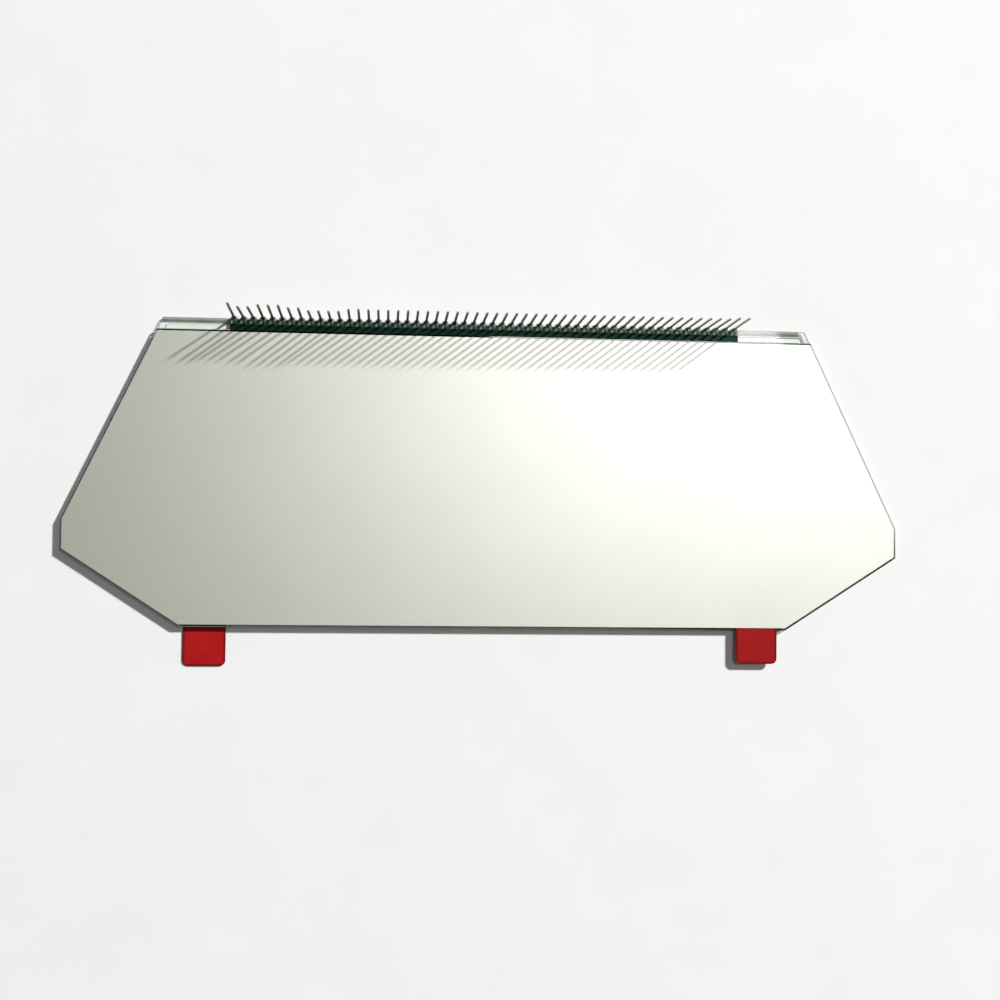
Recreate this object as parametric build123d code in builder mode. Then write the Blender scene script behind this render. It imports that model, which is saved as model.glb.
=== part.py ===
from build123d import *
from functools import cache
from math import acos, radians, sin
import os

os.makedirs("parts", exist_ok=True)

# A segment display panel lying on its viewing side, millimetres.
# +Z points out of the rear face, +Y towards the long edge with the contact pins.
# The origin is the middle of the bounding box, on the surface that the panel lies on.

# Contact pins: a stamped clip that grips the ledge, and a long lead
pin_count = 54
pin_pitch = 2.0
pin_row_shift = -0.44
pins_per_group = 2
pin_stock = 0.25
clip_width = 1.3
prong_width = 0.35
clip_gap = 0.05
rear_prong_reach = 1.2
front_prong_width = 0.6
front_prong_clearance = 0.3
lead_width = 0.5
lead_length = 13.4
lead_tip_width = 0.26
lead_tip_length = 0.5
lead_shoulder_width = 0.9
lead_shoulder_length = 0.9
lead_shoulder_taper = 0.4

# Leads bent in handling: first pin, last pin, degrees away from the glass, degrees to the right
bent_leads = [
    (1, 1, 3.0, 0.0),
    (4, 6, 1.9, 0.0),
    (9, 12, -2.1, 0.0),
    (49, 51, 0.0, 1.6),
    (53, 54, 0.9, 1.8),
]

# Glass plates: eight-sided, widest at two short upright sides
ledge_end_margin = 16.2
side_overhang = 18.8
bottom_setback = 24.1
upper_slant_depth = 39.7
side_length = 6.4
lower_slant_depth = 15.6
ledge_depth = 2.5
glass_thickness = 0.7
glass_edge_chamfer = 0.15

# Cell between the plates
cell_gap = 0.01
seal_inset = 0.7
seal_width = 1.0
fill_port_x = -9.0
fill_port_width = 2.4
fill_port_wall = 0.8
end_seal_bulge = 0.25
end_seal_margin = 0.25
end_seal_overlap = 0.5
transfer_dot_clearance = 0.1
transfer_dot_from_corner = 6.0

# Films
front_polariser_inset = 1.3
rear_polariser_inset = 0.5
front_polariser_thickness = 0.20
rear_polariser_thickness = 0.25
protective_film_thickness = 0.06

# Pull tabs: the left one lies under the front film, the right one under the rear film
tab_thickness = 0.08
tab_width = 8.8
tab_length = 17.0
tab_corner_radius = 1.2
left_tab_reach = 8.15
left_tab_from_corner = 1.0
left_tab_lift = 0.2
left_tab_bend_radius = 2.0
right_tab_reach = 7.1
right_tab_from_corner = 1.95

# Adhesive over the prongs
bead_end_margin = 0.1
bead_hollow_radius = 2.4
prong_relief = 0.09
bead_edge_clearance = 0.12

# The outline's widths and heights
pin_row_length = (pin_count - 1) * pin_pitch
top_edge_width = pin_row_length + 2 * ledge_end_margin
panel_width = top_edge_width + 2 * side_overhang
bottom_edge_width = panel_width - 2 * bottom_setback
rear_glass_height = upper_slant_depth + side_length + lower_slant_depth
upper_slant = side_overhang / upper_slant_depth

# Levels, from the surface upwards
film_level = tab_thickness
front_polariser_level = film_level + protective_film_thickness
front_glass_level = front_polariser_level + front_polariser_thickness
cell_level = front_glass_level + glass_thickness
rear_glass_level = cell_level + cell_gap
rear_polariser_level = rear_glass_level + glass_thickness

# The rear plate's top edge lies where the whole part is centred on the origin
first_lead_overhang = lead_length * sin(radians(bent_leads[0][2]))
pin_side_reach = ledge_depth + clip_gap + pin_stock + first_lead_overhang
tab_side_reach = rear_glass_height + max(left_tab_reach, right_tab_reach)
top_edge_y = (tab_side_reach - pin_side_reach) / 2
ledge_edge_y = top_edge_y + ledge_depth
bottom_edge_y = top_edge_y - rear_glass_height

# Places of the pull tabs, near the ends of the bottom edge
left_tab_x = -bottom_edge_width / 2 + left_tab_from_corner + tab_width / 2
right_tab_x = bottom_edge_width / 2 - right_tab_from_corner - tab_width / 2
right_tab_centre = (right_tab_x, bottom_edge_y - right_tab_reach + tab_length / 2)


def panel_outline(top_extension=0.0, inset=0.0):
    """Draw the panel's outline, its slanted sides carried on past the rear plate's top edge."""
    half_top = top_edge_width / 2 - top_extension * upper_slant
    right_side = [
        (half_top, top_edge_y + top_extension),
        (panel_width / 2, top_edge_y - upper_slant_depth),
        (panel_width / 2, top_edge_y - upper_slant_depth - side_length),
        (bottom_edge_width / 2, bottom_edge_y),
    ]
    left_side = [(-x, y) for x, y in reversed(right_side)]
    Polygon(*right_side, *left_side, align=None)
    if inset:
        offset(amount=-inset, kind=Kind.INTERSECTION)


# Front glass plate: the longer one, its ledge carries the contacts
with BuildPart() as front_glass:
    with BuildSketch(Plane.XY.offset(front_glass_level)):
        panel_outline(ledge_depth)
    extrude(amount=glass_thickness)
    viewing_edges = front_glass.faces().sort_by(Axis.Z)[0].edges()
    ledge_edge = front_glass.faces().sort_by(Axis.Z)[-1].edges().sort_by(Axis.Y)[-1]
    chamfer([*viewing_edges, ledge_edge], length=glass_edge_chamfer)
front_glass.part.label = "front_glass"

# Rear glass plate
with BuildPart() as rear_glass:
    with BuildSketch(Plane.XY.offset(rear_glass_level)):
        panel_outline()
    extrude(amount=glass_thickness)
    chamfer(rear_glass.faces().sort_by(Axis.Z)[-1].edges(), length=glass_edge_chamfer)
rear_glass.part.label = "rear_glass"

# Perimeter seal: a thin frame whose walled fill port opens at the bottom edge
port_depth = seal_inset + seal_width
port_centre = (fill_port_x, bottom_edge_y + port_depth / 2)
with BuildPart() as perimeter_seal:
    with BuildSketch(Plane.XY.offset(cell_level)):
        panel_outline(inset=seal_inset)
        with Locations(port_centre):
            Rectangle(fill_port_width + 2 * fill_port_wall, port_depth)
        with BuildSketch(mode=Mode.PRIVATE) as window:
            panel_outline(inset=port_depth)
        add(window.sketch, mode=Mode.SUBTRACT)
        with Locations(port_centre):
            Rectangle(fill_port_width, port_depth, mode=Mode.SUBTRACT)
    extrude(amount=cell_gap)
perimeter_seal.part.label = "perimeter_seal"

# Liquid crystal, filling the frame
with BuildPart() as liquid_crystal:
    with BuildSketch(Plane.XY.offset(cell_level)):
        panel_outline(inset=port_depth)
    extrude(amount=cell_gap)
liquid_crystal.part.label = "liquid_crystal"

# End seal: the plug in the fill port and its low bulge over both plates' edges
bulge_half_width = fill_port_width / 2 + end_seal_overlap
bulge_half_height = glass_thickness - glass_edge_chamfer - end_seal_margin
cell_middle_level = cell_level + cell_gap / 2
with BuildPart() as end_seal:
    with BuildSketch(Plane.XY.offset(cell_level)):
        with Locations(port_centre):
            Rectangle(fill_port_width, port_depth)
    extrude(amount=cell_gap)
    with BuildSketch(Plane.XY.offset(cell_middle_level)):
        with BuildLine():
            bulge_left = (fill_port_x - bulge_half_width, bottom_edge_y)
            bulge_crown = (fill_port_x, bottom_edge_y - end_seal_bulge)
            bulge_right = (fill_port_x + bulge_half_width, bottom_edge_y)
            ThreePointArc(bulge_left, bulge_crown, bulge_right)
            Line(bulge_right, bulge_left)
        make_face()
    extrude(amount=bulge_half_height, both=True)
end_seal.part.label = "end_seal"

# Conductive dots that join the two plates' electrodes, between the seal and the top edge
dot_x = top_edge_width / 2 - transfer_dot_from_corner
dot_y = top_edge_y - seal_inset / 2
with BuildPart() as transfer_dots:
    with BuildSketch(Plane.XY.offset(cell_level)):
        with Locations((-dot_x, dot_y), (dot_x, dot_y)):
            Circle(seal_inset / 2 - transfer_dot_clearance)
    extrude(amount=cell_gap)
transfer_dots.part.label = "transfer_dots"

# Front polariser, under the plate and part of its ledge
with BuildPart() as front_polariser:
    with BuildSketch(Plane.XY.offset(front_polariser_level)):
        panel_outline(ledge_depth, front_polariser_inset)
    extrude(amount=front_polariser_thickness)
front_polariser.part.label = "front_polariser"

# Protective film, cut to the front polariser
with BuildPart() as front_protective_film:
    with BuildSketch(Plane.XY.offset(film_level)):
        panel_outline(ledge_depth, front_polariser_inset)
    extrude(amount=protective_film_thickness)
front_protective_film.part.label = "front_protective_film"

# Rear polariser with its reflective backing, pressed down around the right tab's hidden end
with BuildPart() as rear_polariser:
    with BuildSketch(Plane.XY.offset(rear_polariser_level)):
        panel_outline(inset=rear_polariser_inset)
    extrude(amount=rear_polariser_thickness)
    with BuildSketch(Plane.XY.offset(rear_polariser_level)):
        with Locations(right_tab_centre):
            RectangleRounded(tab_width, tab_length, tab_corner_radius)
    extrude(amount=tab_thickness, mode=Mode.SUBTRACT)
rear_polariser.part.label = "rear_polariser"


# Left pull tab, stuck under the front film; outside the panel it rises a little
bend_angle = acos(1 - left_tab_lift / (2 * left_tab_bend_radius))
half_rise_run = left_tab_bend_radius * sin(bend_angle)
level_run = left_tab_reach - 2 * half_rise_run
with BuildPart() as pull_tab_left:
    with BuildSketch(Plane.YZ.offset(left_tab_x - tab_width / 2)):
        with BuildLine():
            hidden_end = (bottom_edge_y + tab_length - left_tab_reach, 0)
            rise_start = (bottom_edge_y, 0)
            rise_middle = (bottom_edge_y - half_rise_run, left_tab_lift / 2)
            rise_finish = (bottom_edge_y - 2 * half_rise_run, left_tab_lift)
            free_end = (bottom_edge_y - left_tab_reach, left_tab_lift)
            Line(hidden_end, rise_start)
            RadiusArc(rise_start, rise_middle, left_tab_bend_radius)
            RadiusArc(rise_middle, rise_finish, -left_tab_bend_radius)
            Line(rise_finish, free_end)
            offset(amount=tab_thickness, side=Side.RIGHT)
        make_face()
    extrude(amount=tab_width)
    # The corners' rounding ends where the level stretch does
    corner_radius = min(tab_corner_radius, 0.9 * level_run)
    fillet(pull_tab_left.edges().filter_by(Axis.Z), radius=corner_radius)
pull_tab_left.part.label = "pull_tab_left"

# Right pull tab, straight out from between the rear glass and the rear film
with BuildPart() as pull_tab_right:
    with BuildSketch(Plane.XY.offset(rear_polariser_level)):
        with Locations(right_tab_centre):
            RectangleRounded(tab_width, tab_length, tab_corner_radius)
    extrude(amount=tab_thickness)
pull_tab_right.part.label = "pull_tab_right"

# The front prong ends short of the front polariser, and the folds clear the ledge's chamfers
front_prong_reach = front_polariser_inset - front_prong_clearance
clip_fold = clip_gap + glass_edge_chamfer / 2
slit_width = clip_width - 2 * prong_width


@cache
def contact_pin(outward_lean, side_lean):
    """Make a stamped pin: two prongs on the ledge, one below it, and a long lead from the web.

    Its own origin is the ledge's upper outer edge, and its folds are pressed as flats.
    """
    with BuildPart() as pin:
        with BuildSketch(Plane.YZ.offset(-clip_width / 2)):
            with BuildLine():
                Polyline(
                    (-rear_prong_reach, 0),
                    (clip_gap - clip_fold, 0),
                    (clip_gap, -clip_fold),
                    (clip_gap, clip_fold - glass_thickness),
                    (clip_gap - clip_fold, -glass_thickness),
                    (-front_prong_reach, -glass_thickness),
                )
                offset(amount=pin_stock, side=Side.LEFT, kind=Kind.INTERSECTION)
            make_face()
        extrude(amount=clip_width)
        # The slit that parts the rear prongs, open to where the lead stands
        with Locations((0, clip_gap, -clip_fold)):
            Box(
                slit_width,
                rear_prong_reach + clip_gap,
                clip_fold + pin_stock,
                align=(Align.CENTER, Align.MAX, Align.MIN),
                mode=Mode.SUBTRACT,
            )
        # The web's lower corners are cut away beside the front prong
        corner_width = (clip_width - front_prong_width) / 2
        corner_x = (clip_width - corner_width) / 2
        corner_y = clip_gap + pin_stock
        corner_z = clip_fold - glass_thickness
        with Locations((-corner_x, corner_y, corner_z), (corner_x, corner_y, corner_z)):
            Box(
                corner_width,
                front_prong_reach + corner_y,
                clip_fold + pin_stock,
                align=(Align.CENTER, Align.MAX, Align.MAX),
                mode=Mode.SUBTRACT,
            )
        # The lead, with a shoulder at its foot and a tapered tip
        lead_plane = Plane.XZ.offset(-clip_gap - pin_stock)
        with BuildSketch(lead_plane.rotated((-outward_lean, 0, side_lean))):
            right_side = [
                (slit_width / 2, -clip_fold - pin_stock),
                (slit_width / 2, pin_stock),
                (lead_shoulder_width / 2, pin_stock),
                (lead_shoulder_width / 2, lead_shoulder_length),
                (lead_width / 2, lead_shoulder_length + lead_shoulder_taper),
                (lead_width / 2, lead_length - lead_tip_length),
                (lead_tip_width / 2, lead_length),
            ]
            left_side = [(-x, z) for x, z in reversed(right_side)]
            Polygon(*right_side, *left_side, align=None)
        extrude(amount=pin_stock)
    return pin.part


def lead_lean(number):
    """Return how a numbered lead is bent, away from the glass and to the right."""
    for first, last, outward_lean, side_lean in bent_leads:
        if first <= number <= last:
            return outward_lean, side_lean
    return 0.0, 0.0


# Contact pins, in neighbouring groups along the row
first_pin_x = pin_row_shift - pin_row_length / 2
pin_xs = [first_pin_x + number * pin_pitch for number in range(pin_count)]
pin_groups = []
for first in range(1, pin_count + 1, pins_per_group):
    last = min(first + pins_per_group - 1, pin_count)
    with BuildPart() as group:
        for number in range(first, last + 1):
            with Locations((pin_xs[number - 1], ledge_edge_y, cell_level)):
                add(contact_pin(*lead_lean(number)))
    group.part.label = f"contact_pins_{first:02d}_{last:02d}"
    pin_groups.append(group.part)

# Adhesive on the ledge: a hollow slope from the rear plate's chamfer down to the prongs' tips,
# then a skin that fills between the prongs, a little lower than they are
bead_length = pin_row_length + clip_width + 2 * bead_end_margin
bead_top_level = rear_polariser_level - glass_edge_chamfer
skin_level = cell_level + pin_stock - prong_relief
skin_edge_y = ledge_edge_y - glass_edge_chamfer - bead_edge_clearance
prong_tip_y = ledge_edge_y - rear_prong_reach
prong_offset = (clip_width - prong_width) / 2
with BuildPart() as pin_adhesive:
    with BuildSketch(Plane.YZ.offset(pin_row_shift - bead_length / 2)):
        with BuildLine():
            slope_foot = (prong_tip_y, skin_level)
            slope_top = (top_edge_y, bead_top_level)
            Polyline(
                slope_foot,
                (skin_edge_y, skin_level),
                (skin_edge_y, cell_level),
                (top_edge_y, cell_level),
                slope_top,
            )
            RadiusArc(slope_top, slope_foot, bead_hollow_radius)
        make_face()
    extrude(amount=bead_length)
    with Locations(
        *[(x - prong_offset, prong_tip_y, cell_level) for x in pin_xs],
        *[(x + prong_offset, prong_tip_y, cell_level) for x in pin_xs],
    ):
        Box(
            prong_width,
            rear_prong_reach,
            pin_stock,
            align=(Align.CENTER, Align.MIN, Align.MIN),
            mode=Mode.SUBTRACT,
        )
pin_adhesive.part.label = "pin_adhesive"

parts = [
    front_glass.part,
    rear_glass.part,
    perimeter_seal.part,
    liquid_crystal.part,
    end_seal.part,
    transfer_dots.part,
    front_polariser.part,
    front_protective_film.part,
    rear_polariser.part,
    pull_tab_left.part,
    pull_tab_right.part,
    pin_adhesive.part,
    *pin_groups,
]
for part in parts:
    export_step(part, f"parts/{part.label}.step")
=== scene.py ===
import math

import bpy
from mathutils import Matrix, Vector


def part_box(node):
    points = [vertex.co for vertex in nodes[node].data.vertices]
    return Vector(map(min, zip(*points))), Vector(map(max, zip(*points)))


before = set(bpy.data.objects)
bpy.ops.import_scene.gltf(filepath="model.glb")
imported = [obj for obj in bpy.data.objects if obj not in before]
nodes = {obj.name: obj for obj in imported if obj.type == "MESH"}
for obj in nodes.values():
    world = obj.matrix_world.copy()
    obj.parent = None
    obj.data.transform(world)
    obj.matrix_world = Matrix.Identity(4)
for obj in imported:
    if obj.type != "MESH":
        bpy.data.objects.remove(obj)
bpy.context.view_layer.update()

MM = 0.001

# ---------------------------------------------------------------- places that the looks need
_, glass_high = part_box("rear_glass")
_, ledge_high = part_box("front_glass")
_, film_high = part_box("rear_polariser")
_, polariser_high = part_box("front_polariser")
bead_low, bead_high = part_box("pin_adhesive")
right_tab_low, right_tab_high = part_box("pull_tab_right")
ledge_y = ledge_high.y
# Half the longer plate's width at the ledge
ledge_half = max(v.co.x for v in nodes["front_glass"].data.vertices if v.co.y > ledge_y - 0.5 * MM)

FILM_MARGIN = 0.5 * MM  # bare glass round the rear film
POLARISER_MARGIN = 1.3 * MM  # bare glass round the front polariser
HAIRLINE = 0.02 * MM  # how softly one material changes to another at a drawn border
HAIR_GAP = 0.008 * MM

# ---------------------------------------------------------------- camera, as in the photograph
# The view was fitted to the outline and the pins. Its own origin is a point on the rear face,
# a little inside the middle of the rear plate's top edge.
IMAGE_PX = 1000.0
FOCAL_PX = 1400.0
SENSOR_MM = 36.0
VIEW_TURN = (-1.938, 4.717, -0.798)
VIEW_SHIFT = Vector((-2.11, 34.21, -295.07)) * MM
VIEW_ORIGIN = Vector((0.0, glass_high.y - 0.5 * MM, film_high.z))


def camera_matrix():
    """The camera's place, from the fitted turn and shift."""
    rx, ry, rz = (math.radians(a) for a in VIEW_TURN)
    turn = Matrix.Rotation(rz, 3, "Z") @ Matrix.Rotation(ry, 3, "Y") @ Matrix.Rotation(rx, 3, "X")
    world_to_view = Matrix.Translation(VIEW_SHIFT - turn @ VIEW_ORIGIN) @ turn.to_4x4()
    return world_to_view.inverted()


camera_data = bpy.data.cameras.new("camera")
camera_data.sensor_width = SENSOR_MM
camera_data.lens = FOCAL_PX / IMAGE_PX * SENSOR_MM
camera_data.clip_start = 0.01
camera_data.clip_end = 20.0
camera = bpy.data.objects.new("camera", camera_data)
bpy.context.scene.collection.objects.link(camera)
camera.matrix_world = camera_matrix()
bpy.context.scene.camera = camera


# ---------------------------------------------------------------- node helpers
class Graph:
    """A small helper that builds a material's nodes."""

    def __init__(self, name):
        self.material = bpy.data.materials.new(name)
        self.material.use_nodes = True
        self.tree = self.material.node_tree
        self.tree.nodes.clear()
        self.output = self.tree.nodes.new("ShaderNodeOutputMaterial")

    def node(self, kind, **settings):
        made = self.tree.nodes.new("ShaderNode" + kind)
        for name, value in settings.items():
            setattr(made, name, value)
        return made

    def link(self, source, target):
        self.tree.links.new(source, target)

    def put(self, target, value):
        """Link a socket, or set a plain value."""
        if isinstance(value, bpy.types.NodeSocket):
            self.link(value, target)
        else:
            target.default_value = value

    def place(self):
        return self.node("TexCoord").outputs["Object"]

    def split(self, vector):
        made = self.node("SeparateXYZ")
        self.link(vector, made.inputs["Vector"])
        return made.outputs["X"], made.outputs["Y"], made.outputs["Z"]

    def facing_up(self):
        """How far the side that is seen faces up, from -1 to 1."""
        return self.split(self.node("NewGeometry").outputs["True Normal"])[2]

    def noise(self, scale, detail=3.0, rough=0.5):
        made = self.node("TexNoise")
        made.inputs["Scale"].default_value = scale
        made.inputs["Detail"].default_value = detail
        made.inputs["Roughness"].default_value = rough
        self.link(self.place(), made.inputs["Vector"])
        return made.outputs["Fac"]

    def map_range(self, value, numbers, **settings):
        made = self.node("MapRange", **settings)
        for name, number in zip(("From Min", "From Max", "To Min", "To Max"), numbers):
            made.inputs[name].default_value = number
        self.link(value, made.inputs["Value"])
        return made.outputs["Result"]

    def vary(self, noise, low, high):
        """A number from low to high that follows a noise's usual range."""
        return self.map_range(noise, (0.3, 0.7, low, high))

    def mottle(self, noise, a, b):
        """Two colours that follow a noise's usual range."""
        return self.mix(self.vary(noise, 0.0, 1.0), a, b)

    def step(self, value, start, end):
        """0 below start, 1 above end, smooth between; start may be above end."""
        numbers = (*sorted((start, end)), float(start > end), float(start < end))
        return self.map_range(value, numbers, interpolation_type="SMOOTHSTEP")

    def math(self, operation, a, b=None):
        made = self.node("Math", operation=operation)
        self.put(made.inputs[0], a)
        if b is not None:
            self.put(made.inputs[1], b)
        return made.outputs[0]

    def times(self, product, *others):
        for other in others:
            product = self.math("MULTIPLY", product, other)
        return product

    def blend(self, factor, a, b):
        made = self.node("MixShader")
        self.put(made.inputs[0], factor)
        self.link(a, made.inputs[1])
        self.link(b, made.inputs[2])
        return made.outputs[0]

    def shader(self, kind, **inputs):
        made = self.node("Bsdf" + kind)
        for name, value in inputs.items():
            self.put(made.inputs[name.replace("_", " ")], value)
        return made.outputs[0]

    def mix(self, factor, a, b, blend="MIX"):
        made = self.node("Mix", data_type="RGBA", blend_type=blend)
        self.put(made.inputs["Factor"], factor)
        self.put(made.inputs[6], a)
        self.put(made.inputs[7], b)
        return made.outputs[2]

    def bump(self, height, strength, distance):
        made = self.node("Bump")
        made.inputs["Strength"].default_value = strength
        made.inputs["Distance"].default_value = distance
        self.link(height, made.inputs["Height"])
        return made.outputs["Normal"]

    def principled(self, **inputs):
        return self.shader("Principled", **inputs)

    def finish(self, shader):
        self.link(shader, self.output.inputs["Surface"])
        return self.material


def srgb(red, green, blue):
    """A colour given as it looks, 0 to 255, as the linear colour that nodes take."""
    def linear(value):
        value /= 255.0
        return value / 12.92 if value <= 0.04045 else ((value + 0.055) / 1.055) ** 2.4
    return (linear(red), linear(green), linear(blue), 1.0)


# ---------------------------------------------------------------- outlines
def outline_sides(name):
    """A node's convex outline from above: each side's inward normal and its distance."""
    points = sorted({(round(v.co.x, 6), round(v.co.y, 6)) for v in nodes[name].data.vertices})

    def half(row):
        chain = []
        for point in row:
            while len(chain) > 1:
                (ax, ay), (bx, by) = chain[-2:]
                if (bx - ax) * (point[1] - ay) - (by - ay) * (point[0] - ax) > 1e-9:
                    break
                chain.pop()
            chain.append(point)
        return chain[:-1]

    ring = half(points) + half(points[::-1])
    sides = []
    for a, b in zip(ring, ring[1:] + ring[:1]):
        along = (Vector(b) - Vector(a)).normalized()
        inward = Vector((-along.y, along.x))
        sides.append((inward, inward.dot(Vector(a))))
    return sides


def depth_inside(g, name):
    """How far a point lies inside a node's outline, seen from above."""
    depth = None
    for inward, start in outline_sides(name):
        dot = g.node("VectorMath", operation="DOT_PRODUCT")
        g.link(g.place(), dot.inputs[0])
        dot.inputs[1].default_value = (inward.x, inward.y, 0.0)
        here = g.math("SUBTRACT", dot.outputs["Value"], start)
        depth = here if depth is None else g.math("MINIMUM", depth, here)
    return depth


# ---------------------------------------------------------------- glass
GLASS_TINT = (0.982, 0.99, 0.984, 1.0)
GLASS_IOR = 1.52
FLAT = 0.9  # faces that point this far up or down, of 1, are the polished ones
TOWARDS_LAMPS = (0.79, 0.61)  # the low lamp's direction, seen from above


def see_through(g, tint, ior, gloss_rough=0.03):
    """Clear sheet: what is behind it, tinted, under a thin gloss."""
    clear = g.shader("Transparent", Color=tint)
    gloss = g.shader("Glossy", Roughness=gloss_rough)
    fresnel = g.node("Fresnel")
    fresnel.inputs["IOR"].default_value = ior
    # Only the outer face shines: light that leaves the sheet isn't held inside it
    outside = g.math("SUBTRACT", 1.0, g.node("NewGeometry").outputs["Backfacing"])
    return g.blend(g.times(fresnel.outputs[0], outside), clear, gloss)


def ground_edge(g, up, darker=(), clear=0.12):
    """Ground side walls pass light on softly, and the fine chamfers beside them are grey; the
    chamfers that face up are painted paler than the walls, as painted light.
    """
    chips = g.noise(900.0, 4.0, 0.7)
    wall = g.mottle(chips, srgb(164, 166, 164), srgb(194, 196, 194))
    lit_chamfer = g.mottle(chips, srgb(186, 188, 186), srgb(216, 218, 216))
    # Painted light: faces that point up take the paler chamfer tone
    tone = g.mix(g.step(up, 0.3, 0.6), wall, lit_chamfer)
    for amount, colour in darker:
        tone = g.mix(amount, tone, colour)
    scattered = g.blend(
        0.35, g.shader("Diffuse", Color=tone), g.shader("Translucent", Color=tone))
    return g.blend(clear, scattered, g.shader("Transparent", Color=(0.84, 0.85, 0.84, 1)))


def glass(g, up, tint, edge):
    """Polished faces, see-through, and ground edges between them."""
    polished = see_through(g, tint, GLASS_IOR)
    is_edge = g.math("LESS_THAN", g.math("ABSOLUTE", up), FLAT)
    return g.finish(g.blend(is_edge, polished, edge))


def turned_away(g, x, y):
    """1 along the lower right sides, which are turned away from the lamps and get painted shade,
    else 0.
    """
    towards = g.math(
        "ADD", g.times(x, TOWARDS_LAMPS[0]), g.times(y, TOWARDS_LAMPS[1]))
    return g.times(
        g.step(towards, 67 * MM, 60 * MM), g.step(x, 20 * MM, 60 * MM), g.step(y, -6 * MM, -8 * MM))


def rear_plate():
    """Clear glass. Its bare top rim is painted with shade, lighter towards the lamps, and is dark
    green behind the contacts; the lower right sides get painted shade too.
    """
    g = Graph("rear_plate_glass")
    x, y, _ = g.split(g.place())
    up = g.facing_up()
    from_above = g.step(up, 0.5, 0.9)
    rim = g.times(g.step(y, film_high.y - HAIRLINE, film_high.y + HAIRLINE), from_above)
    # Painted shade: the bare top rim is tinted dark, darkest at the left and lighter towards the
    # lamps
    shade = g.mix(g.step(x, -20 * MM, 70 * MM), (0.14, 0.15, 0.145, 1), (0.34, 0.38, 0.35, 1))
    # Behind the contacts the adhesive wets the glass's edge and shows through it
    bead_half = (bead_high.x - bead_low.x) / 2
    bead_middle = (bead_low.x + bead_high.x) / 2
    from_middle = g.math("ABSOLUTE", g.math("SUBTRACT", x, bead_middle))
    wet = g.step(from_middle, bead_half + 0.1 * MM, bead_half - 0.1 * MM)
    shade = g.mix(wet, shade, (0.10, 0.16, 0.14, 1))
    tint = g.mix(rim, GLASS_TINT, shade)
    # Painted shade: the bare margin and the ground edges of the lower right sides are darkened
    shaded_side = turned_away(g, x, y)
    margin = g.step(
        depth_inside(g, "rear_glass"), FILM_MARGIN + HAIRLINE, FILM_MARGIN - HAIRLINE)
    tint = g.mix(g.times(margin, shaded_side, from_above), tint, (0.42, 0.44, 0.43, 1))
    wet_edge = g.times(wet, g.step(y, film_high.y, film_high.y + 0.2 * MM))
    edge = ground_edge(g, up, [(wet_edge, srgb(26, 44, 37)), (shaded_side, srgb(92, 96, 93))])
    return glass(g, up, tint, edge)


def ledge_plate():
    """The longer plate: clear, with a grey band along most of its ledge's outer side."""
    g = Graph("ledge_plate_glass")
    x, y, _ = g.split(g.place())
    up = g.facing_up()
    band_start = polariser_high.y + HAIRLINE
    band_end = ledge_half - POLARISER_MARGIN
    band = g.times(
        g.step(y, band_start, band_start + 0.1 * MM), g.step(up, 0.5, 0.9),
        g.step(x, band_end + 0.1 * MM, band_end - 0.1 * MM))
    streaks = g.noise(260.0, 2.0, 0.5)
    shade = g.mottle(streaks, (0.58, 0.60, 0.57, 1), (0.66, 0.68, 0.65, 1))
    tint = g.mix(band, GLASS_TINT, shade)
    return glass(g, up, tint, ground_edge(g, up, clear=0.45))


# ---------------------------------------------------------------- films and tabs
def reflective_film():
    """Satin silver film with a faint yellow-green cast, slightly mottled."""
    g = Graph("reflective_film")
    cloud = g.noise(55.0, 2.0, 0.5)
    grain = g.noise(1500.0, 3.0, 0.6)
    tone = g.mix(
        g.map_range(cloud, (0.35, 0.65, 0.0, 1.0)),
        (0.945, 0.950, 0.895, 1), (0.970, 0.975, 0.925, 1))
    tone = g.mix(g.vary(grain, 0.0, 0.4), tone, (0.905, 0.910, 0.855, 1))
    # The right tab's hidden end shows faintly through the film
    x, y, _ = g.split(g.place())
    soft = 0.5 * MM
    hidden = g.times(
        g.step(x, right_tab_low.x - soft, right_tab_low.x + soft),
        g.step(x, right_tab_high.x + soft, right_tab_high.x - soft),
        g.step(y, right_tab_high.y + soft, right_tab_high.y - soft))
    tone = g.mix(g.times(hidden, 0.035), tone, (0.55, 0.40, 0.38, 1))
    cut_edge = g.step(depth_inside(g, "rear_polariser"), 0.12 * MM, 0.02 * MM)
    tone = g.mix(cut_edge, tone, srgb(226, 227, 220))
    bump = g.bump(grain, 0.06, 0.00001)
    silver = g.shader("Glossy", Color=tone, Roughness=g.vary(grain, 0.43, 0.46), Normal=bump)
    cast = g.shader("Diffuse", Color=(0.52, 0.55, 0.33, 1), Normal=bump)
    return g.finish(g.blend(0.20, silver, cast))


def front_polariser_sheet():
    """Pale from behind, silver-green from the viewing side, with a dark cut edge that is partly
    painted shade.
    """
    g = Graph("front_polariser")
    up = g.facing_up()
    cloud = g.noise(120.0, 3.0, 0.5)
    behind = g.mottle(cloud, srgb(228, 236, 226), srgb(240, 245, 238))
    viewing = g.mottle(cloud, srgb(168, 176, 156), srgb(178, 186, 166))
    tone = g.mix(g.step(up, -0.2, 0.2), viewing, behind)
    # A dark cut edge, partly its own colour and partly painted shade, shows mostly at the end
    # turned to the lamps
    x, _, _ = g.split(g.place())
    edge_shade_amount = g.map_range(g.step(x, -40 * MM, 20 * MM), (0.0, 1.0, 0.25, 1.0))
    cut_edge = g.step(depth_inside(g, "front_polariser"), 0.30 * MM, 0.18 * MM)
    tone = g.mix(g.times(cut_edge, edge_shade_amount), tone, srgb(104, 114, 104))
    return g.finish(g.principled(
        Base_Color=tone, Roughness=g.vary(cloud, 0.30, 0.42),
        Metallic=g.times(g.step(up, 0.2, -0.2), 0.4)))


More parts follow.
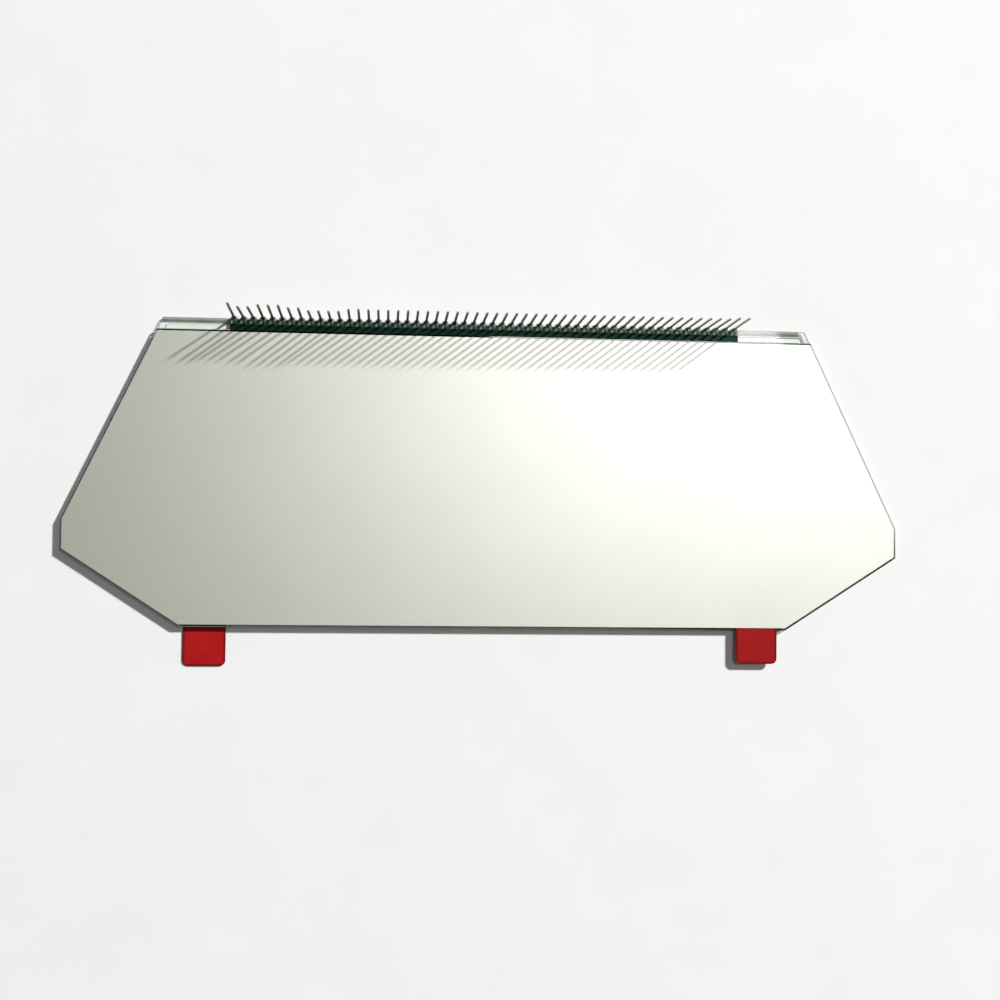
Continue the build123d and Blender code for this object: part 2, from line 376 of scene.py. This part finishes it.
def clear_film():
    """The peel-off film: clear and faintly clouded."""
    g = Graph("protective_film")
    tint = g.mix(g.noise(300.0, 2.0, 0.5), (0.945, 0.95, 0.95, 1), (0.975, 0.98, 0.98, 1))
    return g.finish(see_through(g, tint, 1.48, 0.08))


def red_tab(name, shade_gain):
    """Dull red plastic film, darker along its cut sides."""
    low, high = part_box(name)
    g = Graph(name.replace("pull_tab", "red_film"))
    x, y, _ = g.split(g.place())
    across = g.math("ABSOLUTE", g.math("SUBTRACT", x, (low.x + high.x) / 2))
    side = g.math("SUBTRACT", (high.x - low.x) / 2, across)
    depth = g.math("MINIMUM", side, g.math("SUBTRACT", y, low.y))
    cloud = g.noise(240.0, 3.0, 0.5)
    tone = g.mottle(cloud, srgb(164, 20, 22), srgb(174, 24, 26))
    tone = g.mix(g.step(depth, 0.60 * MM, 0.25 * MM), tone, srgb(118, 10, 14))
    # Painted shade: the whole colour is scaled down by a factor given per tab
    tone = g.mix(1.0, tone, (shade_gain, shade_gain, shade_gain, 1), "MULTIPLY")
    return g.finish(g.principled(
        Base_Color=tone, Roughness=g.vary(cloud, 0.55, 0.65), Specular_IOR_Level=0.1,
        Normal=g.bump(cloud, 0.1, 0.00003)))


# ---------------------------------------------------------------- contacts
def tinned_pins():
    """Dull tinned metal; on the ledge the wet adhesive turns the prongs green."""
    g = Graph("tinned_pins")
    _, y, z = g.split(g.place())
    wet = g.times(
        g.step(y, ledge_y, ledge_y - 0.15 * MM),
        g.step(z, bead_low.z + 0.34 * MM, bead_low.z + 0.28 * MM))
    cloud = g.noise(700.0, 3.0, 0.6)
    metal = g.mottle(cloud, srgb(146, 145, 140), srgb(170, 169, 164))
    green = g.mottle(cloud, srgb(88, 104, 90), srgb(118, 132, 116))
    return g.finish(g.principled(
        Base_Color=g.mix(wet, metal, green),
        Metallic=g.math("SUBTRACT", 1.0, g.times(wet, 0.7)),
        Roughness=g.vary(cloud, 0.36, 0.46), Normal=g.bump(cloud, 0.1, 0.00002)))


def green_adhesive():
    """Dark green glossy adhesive, thinner and paler between the prongs."""
    g = Graph("green_adhesive")
    _, y, _ = g.split(g.place())
    cloud = g.noise(420.0, 3.0, 0.55)
    thick = g.mottle(cloud, srgb(14, 40, 33), srgb(20, 49, 41))
    thin = g.mottle(cloud, srgb(46, 66, 54), srgb(62, 84, 70))
    tone = g.mix(g.step(y, ledge_y - 1.5 * MM, ledge_y - 0.9 * MM), thick, thin)
    return g.finish(g.principled(
        Base_Color=tone, Metallic=0.6, Specular_IOR_Level=0.2,
        Roughness=g.vary(cloud, 0.36, 0.44), Normal=g.bump(cloud, 0.25, 0.00004)))


def plain(name, colour, rough, **more):
    """A faintly mottled material for the pieces held inside the cell."""
    g = Graph(name)
    cloud = g.noise(500.0, 3.0, 0.55)
    darker = tuple(c * 0.9 for c in colour[:3]) + (1.0,)
    return g.finish(g.principled(
        Base_Color=g.mottle(cloud, darker, colour), Roughness=g.vary(cloud, rough, rough + 0.08),
        Normal=g.bump(cloud, 0.15, 0.00003), **more))


def give(material, *names):
    for name in names:
        mesh = nodes[name].data
        mesh.materials.clear()
        mesh.materials.append(material)


# The front polariser is drawn a hair smaller, so that its faces and its neighbours' don't share a
# plane, which breaks up their shading. Its own mesh stays as it is.
shrink = nodes["front_polariser"].modifiers.new("hair_gap", "DISPLACE")
shrink.mid_level = 0.0
shrink.strength = -HAIR_GAP

give(reflective_film(), "rear_polariser")
give(rear_plate(), "rear_glass")
give(ledge_plate(), "front_glass")
give(front_polariser_sheet(), "front_polariser")
give(clear_film(), "front_protective_film")
give(red_tab("pull_tab_left", 1.0), "pull_tab_left")
# The right tab is the same red film, darkened as painted shade
give(red_tab("pull_tab_right", 0.84), "pull_tab_right")
give(plain("seal_epoxy", srgb(205, 207, 194), 0.5), "perimeter_seal")
give(plain("end_seal", srgb(200, 205, 190), 0.2), "end_seal")
give(plain("liquid_crystal", srgb(176, 182, 160), 0.4, Metallic=0.6), "liquid_crystal")
give(plain("conductive_epoxy", srgb(170, 170, 165), 0.5), "transfer_dots")
give(green_adhesive(), "pin_adhesive")
give(tinned_pins(), *[name for name in nodes if name.startswith("contact_pins_")])

# ---------------------------------------------------------------- floor
FLOOR_HALF = 1.2
FLOOR_DROP = 0.02 * MM
floor_mesh = bpy.data.meshes.new("floor")
floor_mesh.from_pydata(
    [(-FLOOR_HALF, -FLOOR_HALF, 0), (FLOOR_HALF, -FLOOR_HALF, 0),
     (FLOOR_HALF, FLOOR_HALF, 0), (-FLOOR_HALF, FLOOR_HALF, 0)],
    [], [(0, 1, 2, 3)])
floor = bpy.data.objects.new("floor", floor_mesh)
floor.location.z = -FLOOR_DROP
bpy.context.scene.collection.objects.link(floor)
paper = Graph("paper")
fibres = paper.noise(60.0, 5.0, 0.6)
floor_mesh.materials.append(paper.finish(paper.principled(
    Base_Color=paper.mottle(fibres, srgb(236, 237, 235), srgb(238, 239, 238)),
    Roughness=0.9, Normal=paper.bump(fibres, 0.015, 0.0005))))

# ---------------------------------------------------------------- light
# The world is bright low down and dim overhead. The camera itself sees an even pale background.
HORIZON_LIGHT, OVERHEAD_LIGHT, SEEN_LIGHT = 0.6, 0.055, 0.92
FADE_FROM, FADE_TO = 5, 20  # degrees above the horizon

scene = bpy.context.scene
scene.view_settings.view_transform = "Standard"
world = bpy.data.worlds.new("studio")
scene.world = world
world.use_nodes = True
tree = world.node_tree
tree.nodes.clear()
out = tree.nodes.new("ShaderNodeOutputWorld")
sky = tree.nodes.new("ShaderNodeBackground")
sky.inputs["Color"].default_value = (0.98, 0.99, 1.0, 1)
direction = tree.nodes.new("ShaderNodeTexCoord")
parts = tree.nodes.new("ShaderNodeSeparateXYZ")
fade = tree.nodes.new("ShaderNodeMapRange")
fade.interpolation_type = "SMOOTHSTEP"
for name, number in (("From Min", math.sin(math.radians(FADE_FROM))),
                     ("From Max", math.sin(math.radians(FADE_TO))),
                     ("To Min", HORIZON_LIGHT), ("To Max", OVERHEAD_LIGHT)):
    fade.inputs[name].default_value = number
seen = tree.nodes.new("ShaderNodeLightPath")
strength = tree.nodes.new("ShaderNodeMix")
strength.inputs["B"].default_value = SEEN_LIGHT
tree.links.new(direction.outputs["Generated"], parts.inputs["Vector"])
tree.links.new(parts.outputs["Z"], fade.inputs["Value"])
tree.links.new(seen.outputs["Is Camera Ray"], strength.inputs["Factor"])
tree.links.new(fade.outputs["Result"], strength.inputs["A"])
tree.links.new(strength.outputs["Result"], sky.inputs["Strength"])
tree.links.new(sky.outputs[0], out.inputs["Surface"])


def lamp(name, turn, height, distance, width, length, power):
    """A rectangular lamp, turn degrees from +X and height degrees up, aimed at the origin."""
    data = bpy.data.lights.new(name, "AREA")
    data.shape = "RECTANGLE"
    data.size = width
    data.size_y = length
    data.energy = power
    made = bpy.data.objects.new(name, data)
    turn, height = math.radians(turn), math.radians(height)
    back = Vector((
        math.cos(turn) * math.cos(height), math.sin(turn) * math.cos(height), math.sin(height)))
    across = Vector((-math.sin(turn), math.cos(turn), 0.0))
    aim = Matrix((across, back.cross(across), back)).transposed().to_4x4()
    made.matrix_world = Matrix.Translation(back * distance) @ aim
    scene.collection.objects.link(made)


# The low lamp is narrow and draws the pins' shadows; the high one fills in from nearly above
lamp("low_lamp", turn=37.5, height=37.3, distance=5.0, width=0.13, length=0.42, power=354.0)
lamp("high_lamp", turn=42.0, height=75.9, distance=3.0, width=0.5, length=0.5, power=10.4)
